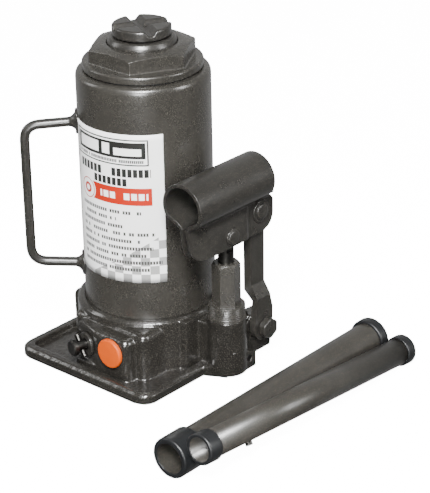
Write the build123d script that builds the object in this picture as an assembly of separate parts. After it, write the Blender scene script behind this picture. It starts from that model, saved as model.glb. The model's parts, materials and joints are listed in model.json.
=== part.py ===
from build123d import *
import math
import os

os.makedirs("parts", exist_ok=True)

# Frame: origin on the tank axis at the underside of the base, +Z up,
# -Y towards the handle socket's mouth, +X towards the pump.

# Base casting
BASE_X = 55.4
BASE_FRONT = 65.5
BASE_REAR = 50.0
BASE_CORNER = 10.0
RIM_H = 7.0
RIM_W = 6.5
POCKET_FLOOR = 3.2
RING_R = 46.0
RING_TOP = 37.6
CAST_EDGE = 2.0
VALVE_BOSS_EDGE = 5.0

# Reservoir tank
TANK_R = 41.0
TANK_WALL = 3.0
TANK_BOTTOM = 33.0
TANK_TOP = 187.0
SHOULDER_R = 6.2
TANK_MOUTH_R = 32.6
TANK_FIT = 0.1
FILLER_Z = 158.0
FILLER_R = 4.5
GASKET_T = 1.0

# Pressure cylinder
CYL_BORE_R = 24.0
CYL_OUTER_R = 28.0
CYL_BOTTOM = 22.0
CYL_TOP = 183.5

# Gland nut
NUT_FLANGE_R = 36.7
NUT_FLANGE_T = 4.6
NUT_AF = 58.0
NUT_TOP = 203.2
NUT_FLAT_R = 24.8
NUT_CORNER_DROP = 2.6
NUT_SKIRT_R = 32.5
NUT_SKIRT_H = 15.0
NUT_POCKET_R = 28.1
NUT_TURN = 0.0

# Ram and extension screw
RAM_R = 21.2
RAM_FIT = 0.06
RAM_BOTTOM = 30.0
RAM_TOP = 206.8
RAM_MOUTH_CHAMFER = 3.2
RAM_BORE_R = 16.3
RAM_BORE_FLOOR = 52.0
PISTON_R = 23.95
PISTON_H = 14.0
GROOVE_DEPTH = 2.4
RAM_COLLAR_H = 16.0
SCREW_R = 15.9
SCREW_ROOT_R = 14.2
SCREW_PITCH = 4.0
SCREW_BOTTOM = 66.0
SADDLE_R = 18.0
SADDLE_BOTTOM = 207.4
SADDLE_TOP = 214.0
SADDLE_GROOVE_W = 8.5
SADDLE_GROOVE_D = 3.2
SADDLE_TURN = 62.0
STOP_RING_H = 4.0
STOP_NECK_R = 12.7

# Pump
PUMP_X = 62.0
PUMP_Y = 2.0
BOSS_R = 12.0
BOSS_FOOT_R = 12.6
BOSS_FOOT_Z = 1.4
OVERHANG = 4.0
BLOCK_FACE = 73.5
PASSAGE_Y = 9.9
PASSAGE_Z = 9.1
PASSAGE_R = 2.2
BOSS_TOP = 38.0
NECK_R = 11.4
NECK_THREAD_DEPTH = 0.6
NECK_TOP = 47.0
HEX_R = 8.9
HEX_TOP = 75.0
HEX_TURN = 46.0
PUMP_BORE_R = 5.0
PUMP_BORE_FLOOR = 14.0
PLUNGER_R = 4.95
PLUNGER_BOTTOM = 28.0

# Handle socket and its linkage
SOCKET_Z = 122.5
SOCKET_R = 15.1
SOCKET_BORE_R = 12.8
SOCKET_FRONT = -36.0
SOCKET_REAR = 31.0
CHEEK_T = 2.5
CHEEK_WIDE = 4.0
CHEEK_NARROW = 2.6
INNER_CHEEK_X = PUMP_X - CHEEK_WIDE - CHEEK_T
CHEEK_TOP = 118.5
NECK_HALF = 13.0
NECK_FOOT_HALF = 5.5
NECK_FOOT_Z = 106.4
PLUNGER_PIN_Y = 1.0
PLUNGER_PIN_Z = 93.4
UPPER_PIN_Y = 29.0
UPPER_PIN_Z = 100.5
LOWER_PIN_Y = 29.0
LOWER_PIN_Z = 22.5
PIN_R = 3.5
PIN_FIT = 0.05
EYE_HALF = 3.6
EYE_R = 7.2
EYE_SLOT_FRONT = 1.0
EYE_SLOT_REAR = 2.15
EYE_SLOT_RISE = 0.3
FLAT_FROM = 82.5
LINK_IN = 3.7
LINK_OUT = 2.2
LINK_W = 6.4
LINK_JOG_Z = 43.0
LUG_FACE = 64.6
LINK_LOW_IN = 65.0
LINK_LOW_OUT = 69.4
LINK_FOOT_R = 8.4
LINK_FOOT_Y = 28.2
BOLT_R = 4.0
BOLT_HEAD_R = 7.0

# Carry handle
ROD_R = 3.0
GRIP_R = 73.4
GRIP_ANGLE = -135.0
ARM_ENDS_Z = (58.8, 153.4)
GRIP_ENDS_Z = (61.2, 151.6)
GRIP_BEND = 9.0
FAN_R = 6.8
FAN_TIP_R = 3.3
FAN_LEN = 4.5
FAN_ROOT = 1.5

# Label
LABEL_T = 0.3
LABEL_START = -124.0
LABEL_SWEEP = 92.5
LABEL_LOW = 62.0
LABEL_HIGH = 158.5

# Valves
FRONT_FACE = -55.0
PLUG_X = 17.9
PLUG_Z = 21.0
PLUG_R = 9.4
VALVE_X = -4.5
VALVE_Y = -52.4
VALVE_Z = 19.0
VALVE_TURN = 15.0
VALVE_R = 3.6
CROSS_TURN = -38.0

# Loose two-piece pump handle
TUBE_LEN = 192.3
TUBE_A_R = 10.6
TUBE_A_BORE = 9.3
COLLAR_A_R = 12.5
TUBE_A_NEAR = (120.2, -114.9, 12.5)
TUBE_A_TURN = 0.8
TUBE_B_R = 8.4
TUBE_B_BORE = 7.3
COLLAR_B_R = 9.5
TUBE_B_NEAR = (140.0, -111.6, 24.3)
TUBE_B_FAR = (139.6, 80.2, 9.5)
COLLAR_A_NEAR = 18.0
COLLAR_B_NEAR = 10.0
COLLAR_LEN_FAR = 7.5
COLLAR_LIP = 1.2
BUTTON_R = 2.2
BUTTON_AT = 38.0


def box(x0, x1, y0, y1, z0, z1):
    size = (x1 - x0, y1 - y0, z1 - z0)
    return Pos(x0, y0, z0) * Box(*size, align=(Align.MIN, Align.MIN, Align.MIN))


def post(r, z0, z1, x=0.0, y=0.0):
    return Pos(x, y, z0) * Cylinder(r, z1 - z0, align=(Align.CENTER, Align.CENTER, Align.MIN))


def ring(r_out, r_in, z0, z1, x=0.0, y=0.0):
    return post(r_out, z0, z1, x, y) - post(r_in, z0 - 1, z1 + 1, x, y)


def cone(r0, r1, z0, z1, x=0.0, y=0.0):
    body = Cone(r0, r1, z1 - z0, align=(Align.CENTER, Align.CENTER, Align.MIN))
    return Pos(x, y, z0) * body


def rod_x(r, x0, x1, y, z):
    body = Cylinder(r, x1 - x0, align=(Align.CENTER, Align.CENTER, Align.MIN))
    return Pos(x0, y, z) * Rot(0, 90, 0) * body


def rod_y(r, y0, y1, x, z):
    body = Cylinder(r, y1 - y0, align=(Align.CENTER, Align.CENTER, Align.MIN))
    return Pos(x, y0, z) * Rot(-90, 0, 0) * body


def prism(points, z0, z1):
    face = make_face(Polyline(*points, close=True))
    return Pos(0, 0, z0) * extrude(face, z1 - z0)


def side_plate(points, x0, x1):
    """A plate in the Y-Z plane, from x0 to x1."""
    wire = Polyline(*[(x0, y, z) for y, z in points], close=True)
    return extrude(make_face(wire), amount=x1 - x0, dir=(1, 0, 0))


def hexagon(r, z0, z1, turn=0.0, x=0.0, y=0.0):
    face = Rot(0, 0, turn) * RegularPolygon(r, 6)
    return Pos(x, y, z0) * extrude(face, z1 - z0)


def revolve_z(points, x=0.0, y=0.0):
    face = make_face(Polyline(*[(r, 0, z) for r, z in points], close=True))
    return Pos(x, y, 0) * revolve(face, Axis.Z, 360)


def vertical_edges(solid):
    return solid.edges().filter_by(Axis.Z)


def save(shape, node):
    export_step(shape, f"parts/{node}.step")


def valve_place():
    """Along the release spindle: local -Y points out of the casting."""
    return Pos(VALVE_X, VALVE_Y, VALVE_Z) * Rot(0, 0, -VALVE_TURN)


def base_casting():
    plate = box(-BASE_X, BASE_X, -BASE_FRONT, BASE_REAR, 0, RIM_H)
    plate = fillet(vertical_edges(plate), BASE_CORNER)
    plate = chamfer(plate.faces().sort_by(Axis.Z)[-1].edges(), CAST_EDGE)
    pocket = box(
        -BASE_X + RIM_W, BASE_X - RIM_W, -BASE_FRONT + RIM_W, BASE_REAR - RIM_W,
        POCKET_FLOOR, RIM_H + 1,
    )
    pocket = fillet(vertical_edges(pocket), BASE_CORNER / 2)
    body = plate - pocket
    drum = post(RING_R, 0, RING_TOP)
    drum = chamfer(drum.faces().sort_by(Axis.Z)[-1].edges(), CAST_EDGE)
    body += drum
    # Boss of the two valves, and the step behind it
    front = box(-16, 30, FRONT_FACE, -30, 0, 31)
    front = fillet(vertical_edges(front), VALVE_BOSS_EDGE)
    front = fillet(front.faces().sort_by(Axis.Z)[-1].edges(), VALVE_BOSS_EDGE - 1)
    # The spindle's corner of the boss faces along the spindle
    front -= valve_place() * box(-30, 10, -12, 0, RIM_H - VALVE_Z, 20)
    body += front
    shoulder = box(-24, 37, -46.5, -20, 0, 34)
    shoulder = fillet(vertical_edges(shoulder), 6)
    shoulder = fillet(shoulder.faces().sort_by(Axis.Z)[-1].edges(), 5)
    body += shoulder
    # Boss for the carry-handle side, against the ring
    side = box(-47.6, -30, -21, 21, 0, 33.5)
    side = fillet(side.faces().sort_by(Axis.Z)[-1].edges().sort_by(Axis.X)[0], 7)
    body += side
    # Web and boss of the pump, and the ear that holds the link
    body += box(30, 47, -19, 24, 0, 36)
    body += box(44, PUMP_X, -8, 22, OVERHANG, 34)
    boss = cone(BOSS_FOOT_R, BOSS_R, BOSS_FOOT_Z, BOSS_TOP, PUMP_X, PUMP_Y)
    body += chamfer(boss.faces().sort_by(Axis.Z)[0].edges(), CAST_EDGE / 2)
    body += prism([(50, -12.5), (56, -12.5), (68.5, -6), (PUMP_X, 6), (50, 6)], 0, RIM_H - 0.5)
    # Drilled block at the boss's foot, with the plugged end of an oil passage
    body += side_plate([(-4.8, 2), (15.8, 2), (15.8, 12.5), (12, 13.2), (-4.8, 18)], 55, BLOCK_FACE)
    ear = side_plate(
        [
            (12, OVERHANG), (40, OVERHANG), (41, 14), (LOWER_PIN_Y + 8, 30), (LOWER_PIN_Y - 7, 31),
            (12, 22),
        ],
        54, LUG_FACE,
    )
    body += ear
    body += box(40, 60, 14, 40, OVERHANG, 20)
    # Seats, bores and oil passages
    body -= ring(TANK_R + TANK_FIT, TANK_R - TANK_WALL - TANK_FIT, TANK_BOTTOM - GASKET_T, RING_TOP + 1)
    body -= post(CYL_OUTER_R + TANK_FIT, CYL_BOTTOM - GASKET_T, RING_TOP + 1)
    body -= post(PUMP_BORE_R + 0.6, PUMP_BORE_FLOOR, BOSS_TOP + 1, PUMP_X, PUMP_Y)
    body -= post(NECK_R - 2.2, 20, BOSS_TOP + 1, PUMP_X, PUMP_Y)
    body -= rod_x(2.0, 0, PUMP_X, PUMP_Y, 10)
    body -= post(2.0, 10, CYL_BOTTOM, 0, PUMP_Y)
    body -= post(2.0, 10, PUMP_BORE_FLOOR + 1, PUMP_X, PUMP_Y)
    body -= rod_x(PASSAGE_R, 66, BLOCK_FACE + 1, PASSAGE_Y, PASSAGE_Z)
    body -= rod_x(BOLT_R, 50, LUG_FACE + 1, LOWER_PIN_Y, LOWER_PIN_Z)
    body -= rod_y(PLUG_R - 1.5, FRONT_FACE - 1, -42, PLUG_X, PLUG_Z)
    body -= rod_y(4.0, FRONT_FACE - 1, -32, PLUG_X, PLUG_Z)
    valve_bore = rod_y(VALVE_R + 0.05, -12, 24, 0, 0)
    gland_seat = rod_y(6.0, -12, 5, 0, 0)
    body -= valve_place() * (valve_bore + gland_seat)
    return body.clean()


def reservoir_tank():
    outer = post(TANK_R, TANK_BOTTOM, TANK_TOP)
    outer = fillet(outer.faces().sort_by(Axis.Z)[-1].edges(), SHOULDER_R)
    inner = post(TANK_R - TANK_WALL, TANK_BOTTOM - 1, TANK_TOP - TANK_WALL)
    mouth = post(TANK_MOUTH_R, TANK_TOP - 5, TANK_TOP + 1)
    filler = Pos(0, 0, FILLER_Z) * Rot(0, 0, 90) * rod_x(FILLER_R, 30, 50, 0, 0)
    return outer - inner - mouth - filler


def oil_filler_plug():
    head = rod_y(7.5, TANK_R - 0.9, TANK_R + 2.4, 0, FILLER_Z)
    neck = rod_y(FILLER_R, TANK_R - 5.0, TANK_R, 0, FILLER_Z)
    barb = rod_y(FILLER_R + 0.9, TANK_R - 6.4, TANK_R - TANK_WALL - 0.6, 0, FILLER_Z)
    plug = head + neck + barb
    wall = ring(TANK_R + 0.02, TANK_R - TANK_WALL - 0.02, FILLER_Z - 12, FILLER_Z + 12)
    return plug - (wall - rod_y(FILLER_R, 30, 50, 0, FILLER_Z))


def pressure_cylinder():
    body = ring(CYL_OUTER_R, CYL_BORE_R, CYL_BOTTOM, CYL_TOP)
    floor = post(CYL_BORE_R + 0.5, CYL_BOTTOM, CYL_BOTTOM + 4)
    return body + floor - post(2.0, CYL_BOTTOM - 1, CYL_BOTTOM + 5, 0, PUMP_Y)


def gland_nut():
    flange_top = TANK_TOP + GASKET_T + NUT_FLANGE_T
    corner = NUT_AF / math.sqrt(3)
    flange = post(NUT_FLANGE_R, TANK_TOP + GASKET_T, flange_top)
    flange = chamfer(flange.faces().sort_by(Axis.Z)[-1].edges(), 0.8)
    head = hexagon(corner, flange_top - 0.5, NUT_TOP, NUT_TURN)
    dome = revolve_z(
        [
            (0, flange_top - 1), (corner, flange_top - 1), (corner, NUT_TOP - NUT_CORNER_DROP),
            (NUT_FLAT_R, NUT_TOP), (0, NUT_TOP),
        ]
    )
    body = flange + (head & dome)
    body += post(NUT_SKIRT_R, TANK_TOP - NUT_SKIRT_H, TANK_TOP + GASKET_T + 0.1)
    body -= post(NUT_POCKET_R, TANK_TOP - NUT_SKIRT_H - 1, CYL_TOP + GASKET_T)
    body -= post(RAM_R + 0.3, TANK_TOP - 20, NUT_TOP + 1)
    body -= post(RAM_R + 3.0, NUT_TOP - 5.0, NUT_TOP - 1.6)
    body -= post(RAM_R + 2.4, CYL_TOP, CYL_TOP + 6)
    return body


def gland_seals():
    wiper = ring(RAM_R + 3.0, RAM_R + RAM_FIT, NUT_TOP - 5.0, NUT_TOP - 1.6)
    guide = ring(RAM_R + 2.4, RAM_R + RAM_FIT, CYL_TOP + GASKET_T, CYL_TOP + 6)
    return wiper, guide


def ram():
    piston_top = RAM_BOTTOM + PISTON_H
    body = revolve_z(
        [
            (0, RAM_BOTTOM), (PISTON_R - 1, RAM_BOTTOM), (PISTON_R, RAM_BOTTOM + 1),
            (PISTON_R, piston_top), (RAM_R, piston_top + 2), (RAM_R, RAM_TOP - RAM_MOUTH_CHAMFER),
            (RAM_R - 1.9, RAM_TOP), (0, RAM_TOP),
        ]
    )
    body -= post(RAM_BORE_R, RAM_BORE_FLOOR, RAM_TOP + 1)
    body -= ring(PISTON_R + 1, PISTON_R - GROOVE_DEPTH, RAM_BOTTOM + 3, RAM_BOTTOM + 7)
    body -= ring(PISTON_R + 1, PISTON_R - GROOVE_DEPTH, RAM_BOTTOM + 9, RAM_BOTTOM + 12)
    return body


def piston_seals():
    cup = ring(PISTON_R, PISTON_R - GROOVE_DEPTH, RAM_BOTTOM + 3, RAM_BOTTOM + 7)
    backing = ring(PISTON_R, PISTON_R - GROOVE_DEPTH, RAM_BOTTOM + 9, RAM_BOTTOM + 12)
    return cup, backing


def extension_screw():
    neck_top = SADDLE_BOTTOM + 0.5
    thread = []
    z = SCREW_BOTTOM + STOP_RING_H + 4
    while z < RAM_TOP - 12:
        thread += [
            (SCREW_ROOT_R, z), (SCREW_R - 0.2, z + 0.9), (SCREW_R - 0.2, z + 1.7),
            (SCREW_ROOT_R, z + 2.6),
        ]
        z += SCREW_PITCH
    profile = [
        (0, SCREW_BOTTOM), (STOP_NECK_R, SCREW_BOTTOM), (STOP_NECK_R, SCREW_BOTTOM + STOP_RING_H),
        (SCREW_ROOT_R, SCREW_BOTTOM + STOP_RING_H),
    ]
    profile += thread
    profile += [
        (SCREW_ROOT_R, neck_top - 1), (SADDLE_R - 1.0, SADDLE_BOTTOM), (SADDLE_R, SADDLE_BOTTOM + 1.0),
        (SADDLE_R, SADDLE_TOP - 1.4), (SADDLE_R - 1.4, SADDLE_TOP), (0, SADDLE_TOP),
    ]
    body = revolve_z(profile)
    cutter = make_face(
        Polyline(
            (-SADDLE_R - 1, -SADDLE_GROOVE_W / 2 - 0.5, SADDLE_TOP + 0.5),
            (-SADDLE_R - 1, SADDLE_GROOVE_W / 2 + 0.5, SADDLE_TOP + 0.5),
            (-SADDLE_R - 1, 1.2, SADDLE_TOP - SADDLE_GROOVE_D),
            (-SADDLE_R - 1, -1.2, SADDLE_TOP - SADDLE_GROOVE_D),
            close=True,
        )
    )
    groove = extrude(cutter, amount=2 * SADDLE_R + 2, dir=(1, 0, 0))
    for turn in (SADDLE_TURN, SADDLE_TURN + 90):
        body -= Rot(0, 0, turn) * groove
    return body


def pump_cylinder():
    profile = [(0, 20.4), (NECK_R - 2.3, 20.4), (NECK_R - 2.3, BOSS_TOP + 0.8), (NECK_R, BOSS_TOP + 0.8)]
    z = BOSS_TOP + 1.6
    while z < NECK_TOP - 1.6:
        profile += [
            (NECK_R, z), (NECK_R - NECK_THREAD_DEPTH, z + 0.6), (NECK_R, z + 1.2),
        ]
        z += 1.4
    profile += [(NECK_R, NECK_TOP - 0.8), (NECK_R - 0.8, NECK_TOP), (0, NECK_TOP)]
    body = revolve_z(profile, PUMP_X, PUMP_Y)
    hexed = hexagon(HEX_R, NECK_TOP - 0.5, HEX_TOP, HEX_TURN, PUMP_X, PUMP_Y)
    crown = cone(HEX_R + 3.2, HEX_R - 1.6, HEX_TOP - 5, HEX_TOP, PUMP_X, PUMP_Y)
    crown += post(HEX_R + 3.2, NECK_TOP - 1, HEX_TOP - 5, PUMP_X, PUMP_Y)
    body += hexed & crown
    body -= post(PUMP_BORE_R, 20, HEX_TOP + 1, PUMP_X, PUMP_Y)
    body -= post(PUMP_BORE_R + 1.8, HEX_TOP - 4, HEX_TOP - 1.2, PUMP_X, PUMP_Y)
    return body


def pump_plunger():
    body = post(PLUNGER_R, PLUNGER_BOTTOM, PLUNGER_PIN_Z - 4, PUMP_X, PUMP_Y)
    for x in (PUMP_X - EYE_HALF - 4, PUMP_X + EYE_HALF):
        body -= box(x, x + 4, PUMP_Y - 8, PUMP_Y + 8, FLAT_FROM, PLUNGER_PIN_Z)
    body -= ring(PLUNGER_R + 1, PLUNGER_R - 1.2, PLUNGER_BOTTOM + 2, PLUNGER_BOTTOM + 5, PUMP_X, PUMP_Y)
    eye = rod_x(EYE_R, PUMP_X - EYE_HALF, PUMP_X + EYE_HALF, PUMP_Y, PLUNGER_PIN_Z)
    body += eye
    x0, x1 = PUMP_X - EYE_HALF - 1, PUMP_X + EYE_HALF + 1
    y0, y1 = PLUNGER_PIN_Y - EYE_SLOT_FRONT, PLUNGER_PIN_Y + EYE_SLOT_REAR
    z0, z1 = PLUNGER_PIN_Z, PLUNGER_PIN_Z + EYE_SLOT_RISE
    r = PIN_R + PIN_FIT
    slot = box(x0, x1, y0, y1, z0 - r, z1 + r) + box(x0, x1, y0 - r, y1 + r, z0, z1)
    for y in (y0, y1):
        slot += rod_x(r, x0, x1, y, z0) + rod_x(r, x0, x1, y, z1)
    return body - slot


def cheek_plate(side):
    """One pressed cheek: pinched at the front and wide round the plunger.

    The outer cheek (side 1) steps in again at the link; the inner one runs straight on.
    """
    inner = [(-35.0, 1.0), (-17.0, CHEEK_WIDE)]
    if side > 0:
        inner += [(14.0, CHEEK_WIDE), (18.5, CHEEK_NARROW), (41.0, CHEEK_NARROW)]
    else:
        inner += [(41.0, CHEEK_WIDE)]
    outer = [(y, x + CHEEK_T) for y, x in reversed(inner)]
    points = [(PUMP_X + side * x, y) for y, x in inner + outer]
    return prism(points, 84, CHEEK_TOP)


def handle_socket():
    tube = rod_y(SOCKET_R, SOCKET_FRONT, SOCKET_REAR, PUMP_X, SOCKET_Z)
    outline = side_plate(
        [
            (-35.5, CHEEK_TOP), (-34.0, 99.0), (-30.5, 90.0), (-24.0, 86.4), (16.0, 86.6),
            (32.0, 86.8), (38.5, 90.0), (41.0, 96.0), (41.0, 105.0), (37.0, 110.0),
            (SOCKET_REAR, CHEEK_TOP),
        ],
        PUMP_X - 20, PUMP_X + 20,
    )
    body = tube
    for side in (-1, 1):
        body += cheek_plate(side) & outline
    # The rolled sheet's two edges draw together under the bore
    shoulder_z = SOCKET_Z - math.sqrt(SOCKET_R**2 - NECK_HALF**2)
    neck = make_face(
        Polyline(
            (PUMP_X - NECK_HALF, SOCKET_FRONT, shoulder_z), (PUMP_X + NECK_HALF, SOCKET_FRONT, shoulder_z),
            (PUMP_X + NECK_FOOT_HALF, SOCKET_FRONT, NECK_FOOT_Z),
            (PUMP_X - NECK_FOOT_HALF, SOCKET_FRONT, NECK_FOOT_Z), close=True,
        )
    )
    neck = extrude(neck, amount=SOCKET_REAR - SOCKET_FRONT, dir=(0, 1, 0))
    slit_half = 8.0
    slit_z = SOCKET_Z - math.sqrt(SOCKET_BORE_R**2 - slit_half**2)
    hollow = make_face(
        Polyline(
            (PUMP_X - slit_half, SOCKET_FRONT - 1, slit_z), (PUMP_X + slit_half, SOCKET_FRONT - 1, slit_z),
            (PUMP_X + CHEEK_NARROW, SOCKET_FRONT - 1, NECK_FOOT_Z - 2.4),
            (PUMP_X - CHEEK_NARROW, SOCKET_FRONT - 1, NECK_FOOT_Z - 2.4),
            close=True,
        )
    )
    hollow = extrude(hollow, amount=SOCKET_REAR - SOCKET_FRONT + 2, dir=(0, 1, 0))
    body += neck
    body -= hollow
    body -= rod_y(SOCKET_BORE_R, SOCKET_FRONT - 1, SOCKET_REAR + 1, PUMP_X, SOCKET_Z)
    body -= rod_x(PIN_R, PUMP_X - 20, PUMP_X + 20, PLUNGER_PIN_Y, PLUNGER_PIN_Z)
    body -= rod_x(PIN_R, PUMP_X - 20, PUMP_X + 20, UPPER_PIN_Y, UPPER_PIN_Z)
    return body


def headed_pin(outer_x, y, z, head_r):
    """A pin across both cheeks, headed on the outer one, its tail turned down for a retaining ring."""
    pin = rod_x(PIN_R, INNER_CHEEK_X - 2.6, outer_x, y, z)
    head = rod_x(head_r, outer_x, outer_x + 1.6, y, z)
    head = chamfer(head.faces().sort_by(Axis.X)[-1].edges(), 0.6)
    groove = rod_x(PIN_R + 1, INNER_CHEEK_X - 1.4, INNER_CHEEK_X - 0.2, y, z)
    groove -= rod_x(PIN_R - 0.6, INNER_CHEEK_X - 2, INNER_CHEEK_X, y, z)
    return pin + head - groove


def retaining_ring(y, z):
    outer = rod_x(PIN_R + 2.0, INNER_CHEEK_X - 1.4, INNER_CHEEK_X - 0.2, y, z)
    bore = rod_x(PIN_R - 0.6, INNER_CHEEK_X - 2, INNER_CHEEK_X, y, z)
    mouth = box(INNER_CHEEK_X - 2, INNER_CHEEK_X, y - 1.8, y + 1.8, z - PIN_R - 3, z)
    return outer - bore - mouth


def pump_link():
    upper = side_plate(
        [
            (UPPER_PIN_Y - LINK_W, LINK_JOG_Z), (UPPER_PIN_Y + LINK_W - 0.5, LINK_JOG_Z),
            (UPPER_PIN_Y + LINK_W, UPPER_PIN_Z), (UPPER_PIN_Y - LINK_W, UPPER_PIN_Z),
        ],
        PUMP_X - LINK_IN, PUMP_X + LINK_OUT,
    )
    upper += rod_x(LINK_W, PUMP_X - LINK_IN, PUMP_X + LINK_OUT, UPPER_PIN_Y, UPPER_PIN_Z)
    lower = side_plate(
        [
            (LINK_FOOT_Y - LINK_FOOT_R, LOWER_PIN_Z), (LINK_FOOT_Y + LINK_FOOT_R, LOWER_PIN_Z),
            (LINK_FOOT_Y + LINK_FOOT_R + 0.4, 34), (UPPER_PIN_Y + LINK_W - 0.5, LINK_JOG_Z - 1),
            (UPPER_PIN_Y - LINK_W, LINK_JOG_Z - 1),
        ],
        LINK_LOW_IN, LINK_LOW_OUT,
    )
    lower += rod_x(LINK_FOOT_R, LINK_LOW_IN, LINK_LOW_OUT, LINK_FOOT_Y, LOWER_PIN_Z)
    jog = make_face(
        Polyline(
            (PUMP_X - LINK_IN, UPPER_PIN_Y - LINK_W, LINK_JOG_Z + 8),
            (PUMP_X + LINK_OUT, UPPER_PIN_Y - LINK_W, LINK_JOG_Z + 8),
            (LINK_LOW_OUT, UPPER_PIN_Y - LINK_W, LINK_JOG_Z),
            (LINK_LOW_OUT, UPPER_PIN_Y - LINK_W, LINK_JOG_Z - 6),
            (LINK_LOW_IN, UPPER_PIN_Y - LINK_W, LINK_JOG_Z - 6),
            (LINK_LOW_IN, UPPER_PIN_Y - LINK_W, LINK_JOG_Z - 2),
            (PUMP_X - LINK_IN, UPPER_PIN_Y - LINK_W, LINK_JOG_Z + 4),
            close=True,
        )
    )
    jog = extrude(jog, amount=2 * LINK_W - 0.5, dir=(0, 1, 0))
    trim = box(PUMP_X - 5, LINK_LOW_IN, 0, 60, LINK_JOG_Z - 10, LINK_JOG_Z + 3.9)
    body = (upper - trim) + jog + lower
    body -= rod_x(PIN_R + PIN_FIT, PUMP_X - 8, PUMP_X + 8, UPPER_PIN_Y, UPPER_PIN_Z)
    body -= rod_x(BOLT_R + PIN_FIT, LINK_LOW_IN - 2, LINK_LOW_OUT + 2, LOWER_PIN_Y, LOWER_PIN_Z)
    return body


def link_bolt():
    shank = rod_x(BOLT_R, 50.5, LINK_LOW_OUT + 0.4, LOWER_PIN_Y, LOWER_PIN_Z)
    place = Pos(LINK_LOW_OUT + 0.4, LOWER_PIN_Y, LOWER_PIN_Z) * Rot(0, 90, 0)
    head = place * extrude(RegularPolygon(BOLT_HEAD_R, 6), 5.0)
    crown = rod_x(BOLT_HEAD_R - 0.4, LINK_LOW_OUT, LINK_LOW_OUT + 6, LOWER_PIN_Y, LOWER_PIN_Z)
    return shank + (head & crown)


def at_grip(r, z):
    """A point in the carry handle's own upright plane."""
    turn = math.radians(GRIP_ANGLE)
    return Vector(math.cos(turn) * r, math.sin(turn) * r, z)


def carry_handle():
    low, high = ARM_ENDS_Z
    grip_low, grip_high = GRIP_ENDS_Z
    path = FilletPolyline(
        at_grip(TANK_R + 1, low), at_grip(GRIP_R, grip_low),
        at_grip(GRIP_R, grip_high), at_grip(TANK_R + 1, high),
        radius=GRIP_BEND,
    )
    section = Plane(origin=path @ 0, z_dir=path % 0) * Circle(ROD_R)
    body = sweep(section, path)
    # Each arm's end is spread into a trumpet and welded to the tank
    for z in ARM_ENDS_Z:
        trumpet = Cone(FAN_R, FAN_TIP_R, FAN_LEN + FAN_ROOT, align=(Align.CENTER, Align.CENTER, Align.MIN))
        body += Pos(0, 0, z) * Rot(0, 0, GRIP_ANGLE) * Pos(TANK_R - FAN_ROOT, 0, 0) * Rot(0, 90, 0) * trumpet
    return body - post(TANK_R, 20, 190)


def carry_handle_welds():
    beads = []
    for z in ARM_ENDS_Z:
        place = Pos(0, 0, z) * Rot(0, 0, GRIP_ANGLE) * Pos(TANK_R, 0, 0) * Rot(0, 90, 0)
        beads.append(place * Cone(FAN_R + 0.9, FAN_R - 1.4, 3.0))
    keep_out = post(TANK_R, 20, 190) + carry_handle()
    return Compound([bead - keep_out for bead in beads])


def label():
    strip = ring(TANK_R + LABEL_T, TANK_R, LABEL_LOW, LABEL_HIGH)
    a0, a1 = math.radians(LABEL_START), math.radians(LABEL_START + LABEL_SWEEP)
    mid = (a0 + a1) / 2
    wedge = prism(
        [
            (0, 0), (90 * math.cos(a0), 90 * math.sin(a0)), (90 * math.cos(mid), 90 * math.sin(mid)),
            (90 * math.cos(a1), 90 * math.sin(a1)),
        ],
        LABEL_LOW - 1, LABEL_HIGH + 1,
    )
    return strip & wedge


def orange_plug():
    cap = rod_y(PLUG_R, FRONT_FACE - 3.0, FRONT_FACE, PLUG_X, PLUG_Z)
    cap = fillet(cap.faces().sort_by(Axis.Y)[0].edges(), 1.2)
    stem = rod_y(PLUG_R - 1.5, FRONT_FACE, FRONT_FACE + 4, PLUG_X, PLUG_Z)
    return cap + stem - rod_y(PLUG_R - 3.5, FRONT_FACE + 1, FRONT_FACE + 5, PLUG_X, PLUG_Z)


def overload_screw():
    screw = rod_y(4.0, -50, -36, PLUG_X, PLUG_Z)
    slot = box(PLUG_X - 5, PLUG_X + 5, -51, -48.4, PLUG_Z - 0.6, PLUG_Z + 0.6)
    return screw - slot


def release_spindle():
    body = rod_y(VALVE_R, -10.0, 20, 0, 0)
    head = rod_y(5.2, -12.4, -9.4, 0, 0)
    head = chamfer(head.faces().sort_by(Axis.Y)[0].edges(), 0.7)
    body += head
    tip = Pos(0, 20, 0) * Rot(-90, 0, 0) * Cone(VALVE_R, 0.6, 3, align=(Align.CENTER, Align.CENTER, Align.MIN))
    body += tip
    body -= Rot(0, CROSS_TURN, 0) * post(1.8, -8, 8, 0, -5.4)
    return valve_place() * body


def release_cross_pin():
    pin = Rot(0, CROSS_TURN, 0) * post(1.8, -7.5, 7.5, 0, -5.4)
    return valve_place() * pin


def release_gland():
    body = rod_y(6.0, -0.6, 5, 0, 0)
    body += rod_y(7.6, -2.4, -0.6, 0, 0)
    body -= rod_y(VALVE_R + 0.05, -4, 6, 0, 0)
    return valve_place() * body


def tube_a_place():
    return Pos(*TUBE_A_NEAR) * Rot(0, 0, TUBE_A_TURN)


def tube_b_place():
    near, far = Vector(*TUBE_B_NEAR), Vector(*TUBE_B_FAR)
    d = (far - near).normalized()
    turn = math.degrees(math.atan2(-d.X, d.Y))
    drop = math.degrees(math.asin(d.Z))
    return Pos(*TUBE_B_NEAR) * Rot(0, 0, turn) * Rot(drop, 0, 0)


def handle_tube(r, bore):
    return rod_y(r, 0.6, TUBE_LEN - 0.6, 0, 0) - rod_y(bore, 0, TUBE_LEN, 0, 0)


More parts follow.
